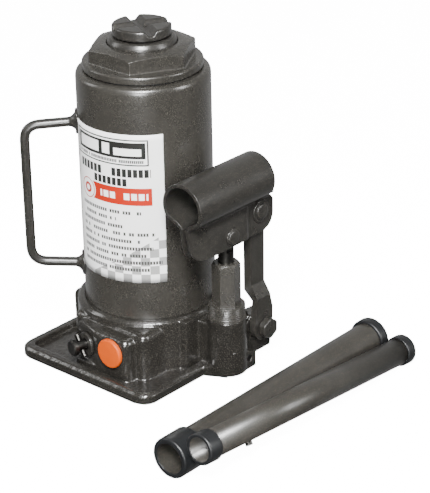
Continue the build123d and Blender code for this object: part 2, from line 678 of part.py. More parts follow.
def collars(r_out, r_tube, bore, near_len):
    near = rod_y(r_out, 0, near_len, 0, 0)
    near = fillet(near.faces().sort_by(Axis.Y)[0].edges(), COLLAR_LIP)
    near -= rod_y(r_tube, 0.6, near_len + 1, 0, 0)
    near -= rod_y(bore, -1, 2, 0, 0)
    far = rod_y(r_out, TUBE_LEN - COLLAR_LEN_FAR, TUBE_LEN, 0, 0)
    far = fillet(far.faces().sort_by(Axis.Y)[-1].edges(), COLLAR_LIP)
    far -= rod_y(r_tube, TUBE_LEN - COLLAR_LEN_FAR - 1, TUBE_LEN - 0.6, 0, 0)
    far -= rod_y(bore, TUBE_LEN - 2, TUBE_LEN + 1, 0, 0)
    return near, far


def snap_button():
    """A round-nosed button on a short leaf, low on the outer side of the thinner tube."""
    button = post(BUTTON_R, -TUBE_B_R - 2.0, -5.6, 0, BUTTON_AT)
    leaf = box(-2.4, 2.4, BUTTON_AT - 5, BUTTON_AT + 9, -5.8, -5.2)
    return Rot(0, -30, 0) * (button + leaf)


def button_hole():
    return Rot(0, -30, 0) * post(BUTTON_R + 0.1, -TUBE_B_R - 4, 0, 0, BUTTON_AT)


save(base_casting(), "base_casting")
save(reservoir_tank(), "reservoir_tank")
save(oil_filler_plug(), "oil_filler_plug")
save(ring(TANK_R, TANK_R - TANK_WALL, TANK_BOTTOM - GASKET_T, TANK_BOTTOM), "tank_foot_gasket")
save(ring(NUT_FLANGE_R - 1.6, TANK_MOUTH_R + 0.4, TANK_TOP, TANK_TOP + GASKET_T), "tank_top_gasket")
save(pressure_cylinder(), "pressure_cylinder")
save(ring(CYL_OUTER_R, 12, CYL_BOTTOM - GASKET_T, CYL_BOTTOM), "cylinder_foot_seal")
save(gland_nut(), "gland_nut")
wiper, guide = gland_seals()
save(wiper, "ram_wiper")
save(guide, "ram_guide_ring")
save(label(), "label")
save(carry_handle(), "carry_handle")
save(carry_handle_welds(), "carry_handle_welds")
save(pump_cylinder(), "pump_cylinder")
save(ring(NECK_R + 0.6, NECK_R - 2.1, BOSS_TOP, BOSS_TOP + 0.8, PUMP_X, PUMP_Y), "pump_washer")
save(
    ring(PUMP_BORE_R + 1.8, PLUNGER_R + 0.05, HEX_TOP - 4, HEX_TOP - 1.2, PUMP_X, PUMP_Y),
    "pump_wiper",
)
save(rod_x(PASSAGE_R, 66, BLOCK_FACE - 0.6, PASSAGE_Y, PASSAGE_Z), "passage_plug")
save(orange_plug(), "overload_valve_plug")
save(overload_screw(), "overload_valve_screw")
save(release_gland(), "release_valve_gland")
save(link_bolt(), "link_bolt")

save(ram(), "ram")
cup, backing = piston_seals()
save(cup, "piston_cup_seal")
save(backing, "piston_guide_ring")
save(
    ring(RAM_BORE_R - 0.1, STOP_NECK_R + 0.05, SCREW_BOTTOM + 0.5, SCREW_BOTTOM + STOP_RING_H - 0.5),
    "screw_stop_ring",
)
save(extension_screw(), "extension_screw")

save(pump_plunger(), "pump_plunger")
save(
    ring(PLUNGER_R, PLUNGER_R - 1.2, PLUNGER_BOTTOM + 2, PLUNGER_BOTTOM + 5, PUMP_X, PUMP_Y),
    "plunger_seal",
)
save(handle_socket(), "handle_socket")
save(headed_pin(PUMP_X + CHEEK_WIDE + CHEEK_T, PLUNGER_PIN_Y, PLUNGER_PIN_Z, 4.6), "plunger_pin")
save(headed_pin(PUMP_X + CHEEK_NARROW + CHEEK_T, UPPER_PIN_Y, UPPER_PIN_Z, 4.9), "link_pin")
save(
    Compound([
        retaining_ring(PLUNGER_PIN_Y, PLUNGER_PIN_Z),
        retaining_ring(UPPER_PIN_Y, UPPER_PIN_Z),
    ]),
    "pin_retaining_rings",
)
save(pump_link(), "pump_link")
save(release_spindle(), "release_spindle")
save(release_cross_pin(), "release_cross_pin")

near_a, far_a = collars(COLLAR_A_R, TUBE_A_R, TUBE_A_BORE, COLLAR_A_NEAR)
save(tube_a_place() * handle_tube(TUBE_A_R, TUBE_A_BORE), "handle_tube_wide")
save(tube_a_place() * Compound([near_a, far_a]), "handle_collars_wide")
near_b, far_b = collars(COLLAR_B_R, TUBE_B_R, TUBE_B_BORE, COLLAR_B_NEAR)
save(tube_b_place() * (handle_tube(TUBE_B_R, TUBE_B_BORE) - button_hole()), "handle_tube_thin")
save(tube_b_place() * Compound([near_b, far_b]), "handle_collars_thin")
save(tube_b_place() * snap_button(), "snap_button")
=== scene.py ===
import bmesh
import bpy
import json
import math
from mathutils import Matrix, Vector, noise

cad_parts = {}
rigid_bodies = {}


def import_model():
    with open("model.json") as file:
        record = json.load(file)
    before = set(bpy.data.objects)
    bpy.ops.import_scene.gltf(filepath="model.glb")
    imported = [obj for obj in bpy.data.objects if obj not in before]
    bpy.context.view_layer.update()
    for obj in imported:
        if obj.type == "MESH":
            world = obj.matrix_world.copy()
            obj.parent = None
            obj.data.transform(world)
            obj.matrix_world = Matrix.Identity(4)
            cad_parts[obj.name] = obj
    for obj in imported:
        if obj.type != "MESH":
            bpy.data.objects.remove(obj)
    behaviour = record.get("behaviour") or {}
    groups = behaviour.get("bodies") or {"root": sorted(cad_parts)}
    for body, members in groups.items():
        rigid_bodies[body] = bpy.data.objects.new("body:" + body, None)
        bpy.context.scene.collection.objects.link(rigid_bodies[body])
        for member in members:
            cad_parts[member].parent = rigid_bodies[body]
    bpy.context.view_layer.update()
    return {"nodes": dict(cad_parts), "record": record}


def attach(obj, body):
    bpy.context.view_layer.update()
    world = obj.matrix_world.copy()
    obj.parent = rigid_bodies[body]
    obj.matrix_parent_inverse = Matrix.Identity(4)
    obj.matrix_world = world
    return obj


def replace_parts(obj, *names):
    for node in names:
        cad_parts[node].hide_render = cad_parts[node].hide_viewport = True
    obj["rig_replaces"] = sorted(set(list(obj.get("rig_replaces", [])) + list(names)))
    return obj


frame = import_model()
NODES = frame["nodes"]
MM = 0.001

# Camera, fitted to the view asked for
AZ, EL, ROLL = math.radians(41.85), math.radians(24.97), math.radians(-1.14)
DISTANCE = 1.25919
AIM_RIGHT, AIM_UP = 0.04109, 0.06642
LENS = 147.1

# Sizes in millimetres that the visual pieces share
TANK_R = 41.0
SHOULDER_R = 6.2
TANK_BOTTOM, TANK_TOP = 33.0, 187.0
PUMP_X, PUMP_Y = 62.0, 2.0
SOCKET_Z, SOCKET_R, SHEET_T = 122.5, 15.1, 2.3
SOCKET_FRONT, SOCKET_REAR = -36.0, 31.0
GRIP_AZ = math.radians(-135.0)
LABEL_AZ, LABEL_SWEEP = math.radians(-124.0), math.radians(92.5)
LABEL_LOW, LABEL_HIGH = 62.0, 158.5
SADDLE_R, SADDLE_BOTTOM, SADDLE_TOP = 18.0, 207.4, 214.0
SADDLE_TURN = math.radians(62.0)
TANK_WALL = 3.0
NECK_SLEEVE_BORE = 9.0
HANDLE_LENGTH = 192.3
FLOOR_HALF = 6000.0

# Studio light: where it aims in metres, and how strong each part is
LIGHT_AIM = (0.03, -0.01, 0.10)
FLOOR_GLOW = 14.0
WORLD_FRONT, WORLD_BACK = 0.06, 0.60
KEY_POWER = 150.0
FRONT_POWER = 60.0
LEFT_POWER = 9.0
RIGHT_POWER = 26.0


# ---------------------------------------------------------------- node trees

class Shader:
    """A Principled material built from procedural nodes in object space."""

    def __init__(self, name):
        self.material = bpy.data.materials.new(name)
        self.material.use_nodes = True
        self.nodes = self.material.node_tree.nodes
        self.links = self.material.node_tree.links
        self.bsdf = self.nodes["Principled BSDF"]
        coords = self.nodes.new("ShaderNodeTexCoord")
        self.place = coords.outputs["Object"]
        self.uv = coords.outputs["UV"]

    def feed(self, socket, value):
        if hasattr(value, "links"):
            self.links.new(value, socket)
        else:
            socket.default_value = value

    def noise(self, scale, detail=3.0, rough=0.5, stretch=None):
        node = self.nodes.new("ShaderNodeTexNoise")
        node.inputs["Scale"].default_value = scale
        node.inputs["Detail"].default_value = detail
        node.inputs["Roughness"].default_value = rough
        vector = self.place
        if stretch is not None:
            mapping = self.nodes.new("ShaderNodeMapping")
            mapping.inputs["Scale"].default_value = stretch
            self.links.new(self.place, mapping.inputs["Vector"])
            vector = mapping.outputs["Vector"]
        self.links.new(vector, node.inputs["Vector"])
        return node.outputs["Fac"]

    def cells(self, scale):
        node = self.nodes.new("ShaderNodeTexVoronoi")
        node.inputs["Scale"].default_value = scale
        self.links.new(self.place, node.inputs["Vector"])
        return node.outputs["Distance"]

    def spread(self, value, low, high, to_low=0.0, to_high=1.0):
        node = self.nodes.new("ShaderNodeMapRange")
        node.inputs["From Min"].default_value = low
        node.inputs["From Max"].default_value = high
        node.inputs["To Min"].default_value = to_low
        node.inputs["To Max"].default_value = to_high
        self.links.new(value, node.inputs["Value"])
        return node.outputs["Result"]

    def math(self, kind, a, b=0.0):
        node = self.nodes.new("ShaderNodeMath")
        node.operation = kind
        self.feed(node.inputs[0], a)
        self.feed(node.inputs[1], b)
        return node.outputs[0]

    def mix(self, share, a, b):
        node = self.nodes.new("ShaderNodeMix")
        node.data_type = "RGBA"
        self.feed(node.inputs[0], share)
        self.feed(node.inputs[6], a if hasattr(a, "links") else (*a, 1.0))
        self.feed(node.inputs[7], b if hasattr(b, "links") else (*b, 1.0))
        return node.outputs[2]

    def edges(self, low, high):
        node = self.nodes.new("ShaderNodeNewGeometry")
        return self.spread(node.outputs["Pointiness"], low, high)

    def bump(self, height, depth, after=None):
        node = self.nodes.new("ShaderNodeBump")
        node.inputs["Strength"].default_value = 1.0
        node.inputs["Distance"].default_value = depth
        self.links.new(height, node.inputs["Height"])
        if after is not None:
            self.links.new(after, node.inputs["Normal"])
        return node.outputs["Normal"]

    def set(self, **values):
        for name, value in values.items():
            self.feed(self.bsdf.inputs[name.replace("_", " ")], value)
        return self

    def level(self, value):
        self.bsdf.inputs["Specular IOR Level"].default_value = value
        return self


def enamel(name, dark, light, fleck, fleck_share, rough, grain, depth, level=0.3, metallic=0.0):
    """Metallic-fleck enamel: slow colour drift, fine bright flecks, orange-peel or cast grain."""
    s = Shader(name)
    drift = s.spread(s.noise(38.0, 4.0, 0.6), 0.35, 0.65)
    body = s.mix(drift, dark, light)
    sparks = s.spread(s.noise(2600.0, 1.0), 0.60, 0.72, 0.0, fleck_share)
    colour = s.mix(sparks, body, fleck)
    skin = s.noise(grain, 4.0, 0.55)
    waves = s.noise(grain * 0.22, 2.0)
    worn = s.spread(s.noise(60.0, 5.0, 0.65), 0.3, 0.7, rough[0], rough[1])
    fine = s.bump(skin, depth)
    s.set(Base_Color=colour, Roughness=worn, Metallic=metallic)
    s.set(Normal=s.bump(waves, depth * 1.6, fine))
    return s.level(level).material


def machined(name, dark, light, rough, stretch, depth=0.00003, metallic=1.0):
    s = Shader(name)
    lines = s.noise(900.0, 3.0, 0.6, stretch)
    drift = s.spread(s.noise(90.0, 4.0, 0.6), 0.3, 0.7)
    s.set(Base_Color=s.mix(drift, dark, light), Metallic=metallic)
    s.set(Roughness=s.spread(lines, 0.3, 0.7, rough[0], rough[1]))
    return s.set(Normal=s.bump(lines, depth)).material


def moulded(name, dark, light, rough, grain, depth, level=0.5):
    s = Shader(name)
    drift = s.spread(s.noise(70.0, 4.0, 0.6), 0.3, 0.7)
    skin = s.noise(grain, 4.0, 0.6)
    s.set(Base_Color=s.mix(drift, dark, light))
    s.set(Roughness=s.spread(s.noise(150.0, 4.0), 0.3, 0.7, rough[0], rough[1]))
    return s.set(Normal=s.bump(skin, depth)).level(level).material


def label_material():
    """White film printed with plain blocks and bars; its UV map is in millimetres."""
    s = Shader("label_film")
    split = s.nodes.new("ShaderNodeSeparateXYZ")
    s.links.new(s.uv, split.inputs[0])
    u, v = split.outputs[0], split.outputs[1]
    across = LABEL_SWEEP * TANK_R
    tall = LABEL_HIGH - LABEL_LOW

    def inside(value, low, high):
        return s.math("MULTIPLY", s.math("GREATER_THAN", value, low), s.math("LESS_THAN", value, high))

    def block(u0, u1, v0, v1):
        return s.math("MULTIPLY", inside(u, u0 * across, u1 * across), inside(v, v0 * tall, v1 * tall))

    def words(v0, v1, u0, u1, letter, seed):
        """A row of short upright bars in groups, standing for a line of print."""
        bars = s.math("FRACT", s.math("MULTIPLY", u, 1.0 / letter))
        inked = s.math("LESS_THAN", bars, 0.76)
        groups = s.nodes.new("ShaderNodeTexWhiteNoise")
        groups.noise_dimensions = "1D"
        cell = s.math("FLOOR", s.math("MULTIPLY", u, 1.0 / letter))
        s.links.new(s.math("ADD", cell, seed), groups.inputs["W"])
        gap = s.math("GREATER_THAN", groups.outputs["Value"], 0.12)
        return s.math("MULTIPLY", block(u0, u1, v0, v1), s.math("MULTIPLY", inked, gap))

    paper = (0.80, 0.80, 0.79)
    black = (0.012, 0.012, 0.011)
    grey = (0.045, 0.045, 0.043)
    red = (0.34, 0.016, 0.005)
    check = (0.27, 0.27, 0.265)
    drift = s.spread(s.noise(45.0, 4.0, 0.6), 0.3, 0.7)
    colour = s.mix(drift, (0.77, 0.77, 0.76), paper)
    # Grey checks that rise towards the lower right corner
    squares = s.nodes.new("ShaderNodeTexChecker")
    squares.inputs["Scale"].default_value = 1.0 / 5.6
    s.links.new(s.uv, squares.inputs["Vector"])
    slope = s.math("ADD", v, s.math("MULTIPLY", u, -0.62))
    corner = s.math("LESS_THAN", slope, -8.0)
    sweep = s.math("MULTIPLY", squares.outputs["Fac"], corner)
    colour = s.mix(sweep, colour, check)
    # Framed block with light bars
    colour = s.mix(block(0.045, 0.865, 0.795, 0.968), colour, black)
    colour = s.mix(block(0.058, 0.852, 0.804, 0.959), colour, paper)
    colour = s.mix(block(0.075, 0.838, 0.842, 0.948), colour, black)
    for start, end, top in ((0.11, 0.38, 0.932), (0.42, 0.50, 0.932), (0.54, 0.80, 0.908)):
        colour = s.mix(block(start, end, 0.860, top), colour, paper)
    colour = s.mix(words(0.812, 0.832, 0.09, 0.82, 1.15, 5.0), colour, grey)
    # Two heading rows
    colour = s.mix(words(0.718, 0.772, 0.05, 0.88, 3.4, 11.5), colour, black)
    colour = s.mix(words(0.656, 0.706, 0.30, 0.66, 3.4, 40.5), colour, black)
    # Band with a round badge
    colour = s.mix(block(0.22, 0.885, 0.530, 0.646), colour, red)
    colour = s.mix(words(0.566, 0.610, 0.38, 0.85, 4.6, 71.5), colour, paper)
    du = s.math("SUBTRACT", u, 0.205 * across)
    dv = s.math("SUBTRACT", v, 0.586 * tall)
    far = s.math("SQRT", s.math("ADD", s.math("MULTIPLY", du, du), s.math("MULTIPLY", dv, dv)))
    colour = s.mix(s.math("LESS_THAN", far, 7.4), colour, paper)
    colour = s.mix(inside(far, 5.9, 6.5), colour, red)
    colour = s.mix(inside(far, 1.8, 3.4), colour, red)
    # Lines of small print
    row_ends = (0.78, 0.54, 0.60, 0.90, 0.76, 0.88, 0.82, 0.96, 0.86)
    for row, end in enumerate(row_ends):
        top = 0.488 - 0.0485 * row
        colour = s.mix(words(top - 0.022, top, 0.11, end, 1.75, 101.5 + 37 * row), colour, grey)
    s.set(Base_Color=colour, Roughness=s.spread(s.noise(120.0, 4.0), 0.3, 0.7, 0.28, 0.42))
    return s.set(Normal=s.bump(s.noise(500.0, 2.0), 0.00003)).level(0.35).material


MATERIALS = {
    "hammer_paint": enamel(
        "hammer_paint", (0.0170, 0.0160, 0.0138), (0.0225, 0.0213, 0.0184), (0.20, 0.18, 0.15), 0.34,
        (0.24, 0.31), 900.0, 0.000012, 0.75,
    ),
    "cast_paint": enamel(
        "cast_paint", (0.0100, 0.0094, 0.0082), (0.0160, 0.0151, 0.0132), (0.18, 0.16, 0.13), 0.24,
        (0.17, 0.27), 520.0, 0.00006, 0.7,
    ),
    "dark_paint": enamel(
        "dark_paint", (0.0120, 0.0115, 0.0102), (0.0160, 0.0154, 0.0138), (0.20, 0.18, 0.15), 0.32,
        (0.26, 0.34), 700.0, 0.00003, 0.6,
    ),
    "tube_paint": enamel(
        "tube_paint", (0.0190, 0.0180, 0.0156), (0.0240, 0.0228, 0.0200), (0.20, 0.17, 0.13), 0.40,
        (0.32, 0.40), 800.0, 0.00003, 0.6,
    ),
    "steel": machined("steel", (0.035, 0.034, 0.032), (0.085, 0.082, 0.076), (0.28, 0.48), (1, 1, 1)),
    "black_steel": machined(
        "black_steel", (0.03, 0.03, 0.03), (0.05, 0.05, 0.05), (0.35, 0.5), (1, 1, 1), metallic=0.7,
    ),
    "seal_rubber": moulded(
        "seal_rubber", (0.006, 0.006, 0.006), (0.010, 0.010, 0.010), (0.5, 0.7), 1500.0, 0.00003,
    ),
    "seal_plastic": moulded(
        "seal_plastic", (0.38, 0.36, 0.29), (0.45, 0.42, 0.34), (0.4, 0.55), 1500.0, 0.00002,
    ),
    "copper": machined("copper", (0.35, 0.17, 0.09), (0.45, 0.23, 0.12), (0.3, 0.45), (1, 1, 1)),
    "collar_plastic": moulded(
        "collar_plastic", (0.0050, 0.0055, 0.0060), (0.0080, 0.0086, 0.0092), (0.34, 0.48),
        1300.0, 0.00006, 0.5,
    ),
    "orange_plastic": moulded(
        "orange_plastic", (0.38, 0.050, 0.0020), (0.44, 0.064, 0.0035), (0.34, 0.48),
        1100.0, 0.00005, 0.25,
    ),
    "label_film": label_material(),
}
SLOTS = {part["node"]: part["material_slot"] for part in frame["record"]["subparts"]}


# ---------------------------------------------------------------- meshes

def add_object(name, points, faces, uvs=None):
    """A mesh object from points in millimetres."""
    mesh = bpy.data.meshes.new(name)
    mesh.from_pydata([tuple(c * MM for c in p) for p in points], [], faces)
    if uvs is not None:
        layer = mesh.uv_layers.new(name="UVMap")
        for loop in mesh.loops:
            layer.data[loop.index].uv = uvs[loop.vertex_index]
    obj = bpy.data.objects.new(name, mesh)
    bpy.context.collection.objects.link(obj)
    return obj


def finish_mesh(obj, merge=0.001, sharp=None):
    """Welds, makes every face look outwards, and shades smooth up to the sharp angle."""
    bm = bmesh.new()
    bm.from_mesh(obj.data)
    bmesh.ops.remove_doubles(bm, verts=bm.verts, dist=merge * MM)
    bmesh.ops.dissolve_degenerate(bm, dist=merge * MM, edges=bm.edges)
    bmesh.ops.recalc_face_normals(bm, faces=bm.faces)
    bm.to_mesh(obj.data)
    bm.free()
    obj.data.shade_smooth()
    if sharp is not None:
        obj.data.set_sharp_from_angle(angle=math.radians(sharp))
    return obj


def stand_for(obj, body, slot, *nodes):
    """The finished piece takes its material, rides its body and stands for CAD nodes."""
    obj.data.materials.clear()
    obj.data.materials.append(MATERIALS[slot])
    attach(obj, body)
    if nodes:
        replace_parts(obj, *nodes)
    return obj


def grid_faces(rows, cols, wrap_rows=False, wrap_cols=False):
    faces = []
    for i in range(rows if wrap_rows else rows - 1):
        for j in range(cols if wrap_cols else cols - 1):
            i2, j2 = (i + 1) % rows, (j + 1) % cols
            faces.append((i * cols + j, i2 * cols + j, i2 * cols + j2, i * cols + j2))
    return faces


def rounded(corners, steps=5):
    """A closed 2-D outline from (x, y, rounding) corners."""
    out = []
    count = len(corners)
    for i, (x, y, reach) in enumerate(corners):
        here = Vector((x, y))
        if reach <= 0:
            out.append(here)
            continue
        before = Vector(corners[i - 1][:2]) - here
        after = Vector(corners[(i + 1) % count][:2]) - here
        start = here + before.normalized() * min(reach, before.length * 0.49)
        end = here + after.normalized() * min(reach, after.length * 0.49)
        for k in range(steps + 1):
            t = k / steps
            out.append((1 - t) ** 2 * start + 2 * t * (1 - t) * here + t * t * end)
    return out


def lathe(name, corners, place=None, segments=128):
    """A turned piece from a closed outline of (radius, height, rounding) corners."""
    outline = rounded(corners)
    place = place or Matrix.Identity(4)
    points = []
    for k in range(segments):
        a = 2 * math.pi * k / segments
        for r, z in outline:
            points.append(place @ Vector((r * math.cos(a), r * math.sin(a), z)))
    faces = grid_faces(segments, len(outline), True, True)
    return finish_mesh(add_object(name, points, faces), sharp=50)


def height_tube(name, radius_at, bore, z0, z1, rows, segments=128, place=None):
    """A sleeve round a plain bore, whose outer radius follows radius_at(angle, z)."""
    place = place or Matrix.Identity(4)
    walls = [(radius_at, z0 + (z1 - z0) * i / (rows - 1)) for i in range(rows)]
    walls += [(lambda angle, z: bore, z1), (lambda angle, z: bore, z0)]
    points = []
    for radius, z in walls:
        for k in range(segments):
            a = 2 * math.pi * k / segments
            r = radius(a, z)
            points.append(place @ Vector((r * math.cos(a), r * math.sin(a), z)))
    return finish_mesh(add_object(name, points, grid_faces(len(walls), segments, True, True)), sharp=60)


def thread_radius(outer, depth, pitch, z0, z1, fade):
    """The radius of a right-hand V thread that runs out over fade at each end."""
    def radius(angle, z):
        turn = (z / pitch - angle / (2 * math.pi)) % 1.0
        tooth = abs(2 * turn - 1)
        cut = max(0.0, min(1.0, 1.35 * tooth - 0.15))
        end = max(0.0, min(1.0, (z - z0) / fade, (z1 - z) / fade))
        return outer - depth * cut * end
    return radius


def sweep(name, path, widths, sides=28, up=Vector((0, 0, 1)), sharp=60):
    """A closed rod along a path; widths gives the two half widths at each point."""
    points = []
    count = len(path)
    for i, centre in enumerate(path):
        ahead = path[min(i + 1, count - 1)] - path[max(i - 1, 0)]
        ahead.normalize()
        side = ahead.cross(up).normalized()
        over = side.cross(ahead).normalized()
        half_side, half_over = widths[i]
        for k in range(sides):
            a = 2 * math.pi * k / sides
            points.append(centre + side * (half_side * math.cos(a)) + over * (half_over * math.sin(a)))
    faces = grid_faces(count, sides, False, True)
    faces.append(tuple(reversed(range(sides))))
    faces.append(tuple((count - 1) * sides + k for k in range(sides)))
    return finish_mesh(add_object(name, points, faces), sharp=sharp)


def evaluated(obj, name):
    """Applies an object's modifiers into a new mesh and returns the object with it."""
    mesh = bpy.data.meshes.new_from_object(obj.evaluated_get(bpy.context.evaluated_depsgraph_get()))
    mesh.name = name
    obj.modifiers.clear()
    obj.data = mesh
    return obj


def cast_copy(node, voxel, rounds, extras=()):
    """The CAD node's shape with softened, cast-looking edges; extras are joined on first."""
    bm = bmesh.new()
    bm.from_mesh(NODES[node].data)
    for extra in extras:
        bm.from_mesh(extra.data)
        bpy.data.objects.remove(extra)
    bmesh.ops.remove_doubles(bm, verts=bm.verts, dist=0.001 * MM)
    mesh = bpy.data.meshes.new(node + "_skin")
    bm.to_mesh(mesh)
    bm.free()
    obj = bpy.data.objects.new(node + "_skin", mesh)
    bpy.context.collection.objects.link(obj)
    remesh = obj.modifiers.new("skin", "REMESH")
    remesh.mode = "VOXEL"
    remesh.voxel_size = voxel * MM
    smooth = obj.modifiers.new("soft", "SMOOTH")
    smooth.factor = 0.5
    smooth.iterations = rounds
    evaluated(obj, node + "_skin")
    obj.data.shade_smooth()
    return obj


def roughen(obj, amount, size, where=None):
    """Uneven cast surface: each vertex moves along its normal by smooth noise."""
    moves = []
    for vertex in obj.data.vertices:
        p = vertex.co / MM
        share = 1.0 if where is None else where(p)
        moves.append(vertex.co + vertex.normal * (noise.noise(p / size) * amount * share * MM))
    for vertex, co in zip(obj.data.vertices, moves):
        vertex.co = co


def dress(node, width=0.35, segments=2, angle=32):
    """A CAD node keeps its mesh and gets its material, welded and with softened edges."""
    obj = NODES[node]
    mesh = obj.data
    if "custom_normal" in mesh.attributes:
        mesh.attributes.remove(mesh.attributes["custom_normal"])
    mesh.materials.clear()
    mesh.materials.append(MATERIALS[SLOTS[node]])
    mesh.shade_smooth()
    weld = obj.modifiers.new("weld", "WELD")
    weld.merge_threshold = 0.002 * MM
    flat = obj.modifiers.new("flat", "DECIMATE")
    flat.decimate_type = "DISSOLVE"
    flat.angle_limit = math.radians(1.5)
    if width > 0:
        bevel = obj.modifiers.new("edge", "BEVEL")
        bevel.width = width * MM
        bevel.segments = segments
        bevel.limit_method = "ANGLE"
        bevel.angle_limit = math.radians(angle)
        bevel.harden_normals = True
    return obj


# ---------------------------------------------------------------- the pieces

def block(name, low, high, top_shift=(0.0, 0.0)):
    """A plain six-sided lump for joining into a casting; its top may be inset."""
    (x0, y0, z0), (x1, y1, z1) = low, high
    sx, sy = top_shift
    points = [(x0, y0, z0), (x1, y0, z0), (x1, y1, z0), (x0, y1, z0)]
    points += [(x0 + sx, y0 + sy, z1), (x1 - sx, y0 + sy, z1), (x1 - sx, y1, z1), (x0 + sx, y1, z1)]
    faces = [(3, 2, 1, 0), (4, 5, 6, 7), (0, 1, 5, 4), (1, 2, 6, 5), (2, 3, 7, 6), (3, 0, 4, 7)]
    return add_object(name, points, faces)


def base_casting():
    slopes = [
        block("slope_a", (-15, -51, 24), (27, -20, 36.5), (7.0, 14.0)),
        block("slope_b", (-46, -20, 10), (-20, 20, 36.5), (9.0, 4.0)),
        block("slope_c", (-27, -44, 3), (-10, -20, 35.0), (5.0, 11.0)),
    ]
    obj = cast_copy("base_casting", 0.55, 2, slopes)

    def rough_share(p):
        # The sawn seats and the flat underside stay smooth
        if p.z < 0.8 or math.hypot(p.x, p.y) < 41.8:
            return 0.0
        return 1.0 if p.z < 36 else 0.4

    roughen(obj, 0.12, 3.4, rough_share)
    roughen(obj, 0.09, 0.9, rough_share)
    for vertex in obj.data.vertices:
        vertex.co.z = max(vertex.co.z, 0.0)
    return stand_for(obj, "base", "cast_paint", "base_casting")


def tank():
    inner = TANK_R - TANK_WALL
    corners = [
        (TANK_R, TANK_BOTTOM, 0), (TANK_R, TANK_TOP - SHOULDER_R * 1.45, 0),
        (TANK_R, TANK_TOP, SHOULDER_R * 1.4), (32.6, TANK_TOP, 0.4), (32.6, TANK_TOP - 3.0, 0.3),
        (inner, TANK_TOP - 3.0, 2.0), (inner, TANK_BOTTOM, 0.3),
    ]
    obj = lathe("tank_shell", corners, segments=192)
    return stand_for(obj, "base", "hammer_paint", "reservoir_tank")


def nut():
    obj = cast_copy("gland_nut", 0.40, 2)
    roughen(obj, 0.07, 2.6, lambda p: 1.0 if p.z > 192.8 else 0.3)
    roughen(obj, 0.09, 0.8, lambda p: 1.0 if 193.4 < p.z < 201 and math.hypot(p.x, p.y) > 27 else 0.1)
    return stand_for(obj, "base", "hammer_paint", "gland_nut")


def screw():
    """Threaded extension screw with its cross-grooved saddle, one turned piece."""
    thread = thread_radius(15.7, 1.5, 4.0, 74.0, 200.0, 3.0)
    half, depth = 4.7, 3.2

    def groove(x, y):
        cut = 0.0
        for turn in (SADDLE_TURN, SADDLE_TURN + math.pi / 2):
            off = abs(-x * math.sin(turn) + y * math.cos(turn))
            t = max(0.0, min(1.0, (half - off) / (half - 1.0)))
            cut = max(cut, depth * t * t * (3 - 2 * t) if t < 1 else depth)
        return cut

    segments, points = 256, []
    rows = []
    steps = 300
    for i in range(steps + 1):
        z = 66.0 + (200.0 - 66.0) * i / steps
        rows.append(lambda a, z=z: (12.7 if z < 70.0 else thread(a, z), z))
    for z, r in ((206.2, 14.2), (SADDLE_BOTTOM, SADDLE_R - 1.2), (SADDLE_BOTTOM + 0.3, SADDLE_R - 0.4)):
        rows.append(lambda a, z=z, r=r: (r, z))
    wall = 8
    for i in range(wall + 1):
        t = i / wall

        def side(a, t=t):
            top = SADDLE_TOP - 1.3 - groove(SADDLE_R * math.cos(a), SADDLE_R * math.sin(a)) * 0.9
            return SADDLE_R, SADDLE_BOTTOM + 1.0 + t * (top - SADDLE_BOTTOM - 1.0)

        rows.append(side)
    for shrink, drop in ((0.12, 0.75), (0.45, 0.32), (0.95, 0.08), (1.5, 0.0)):

        def shoulder(a, shrink=shrink, drop=drop):
            r = SADDLE_R - shrink
            return r, SADDLE_TOP - drop - groove(r * math.cos(a), r * math.sin(a))

        rows.append(shoulder)
    rings = 44
    for i in range(1, rings):

        def top(a, i=i):
            r = (SADDLE_R - 1.5) * (1 - i / rings)
            return r, SADDLE_TOP - groove(r * math.cos(a), r * math.sin(a))

        rows.append(top)
    for row in rows:
        for k in range(segments):
            a = 2 * math.pi * k / segments
            r, z = row(a)
            points.append((r * math.cos(a), r * math.sin(a), z))
    faces = grid_faces(len(rows), segments, False, True)
    points += [(0, 0, 66.0), (0, 0, SADDLE_TOP - depth)]
    last = (len(rows) - 1) * segments
    for k in range(segments):
        faces.append((len(points) - 2, (k + 1) % segments, k))
        faces.append((len(points) - 1, last + k, last + (k + 1) % segments))
    obj = finish_mesh(add_object("screw_and_saddle", points, faces), sharp=55)
    return stand_for(obj, "screw", "dark_paint", "extension_screw")


def ram_piece():
    corners = [
        (0, 30, 0), (23.9, 30, 0.8), (23.9, 33, 0), (21.6, 33, 0), (21.6, 37, 0), (23.9, 37, 0),
        (23.9, 39, 0), (21.6, 39, 0), (21.6, 42, 0), (23.9, 42, 0), (23.9, 44, 0.5), (21.2, 46, 0),
        (21.2, 203.6, 1.0), (19.4, 206.8, 1.2), (16.3, 206.8, 0.5), (16.3, 52, 0), (0, 52, 0),
    ]
    return stand_for(lathe("ram_body", corners, segments=160), "ram", "dark_paint", "ram")


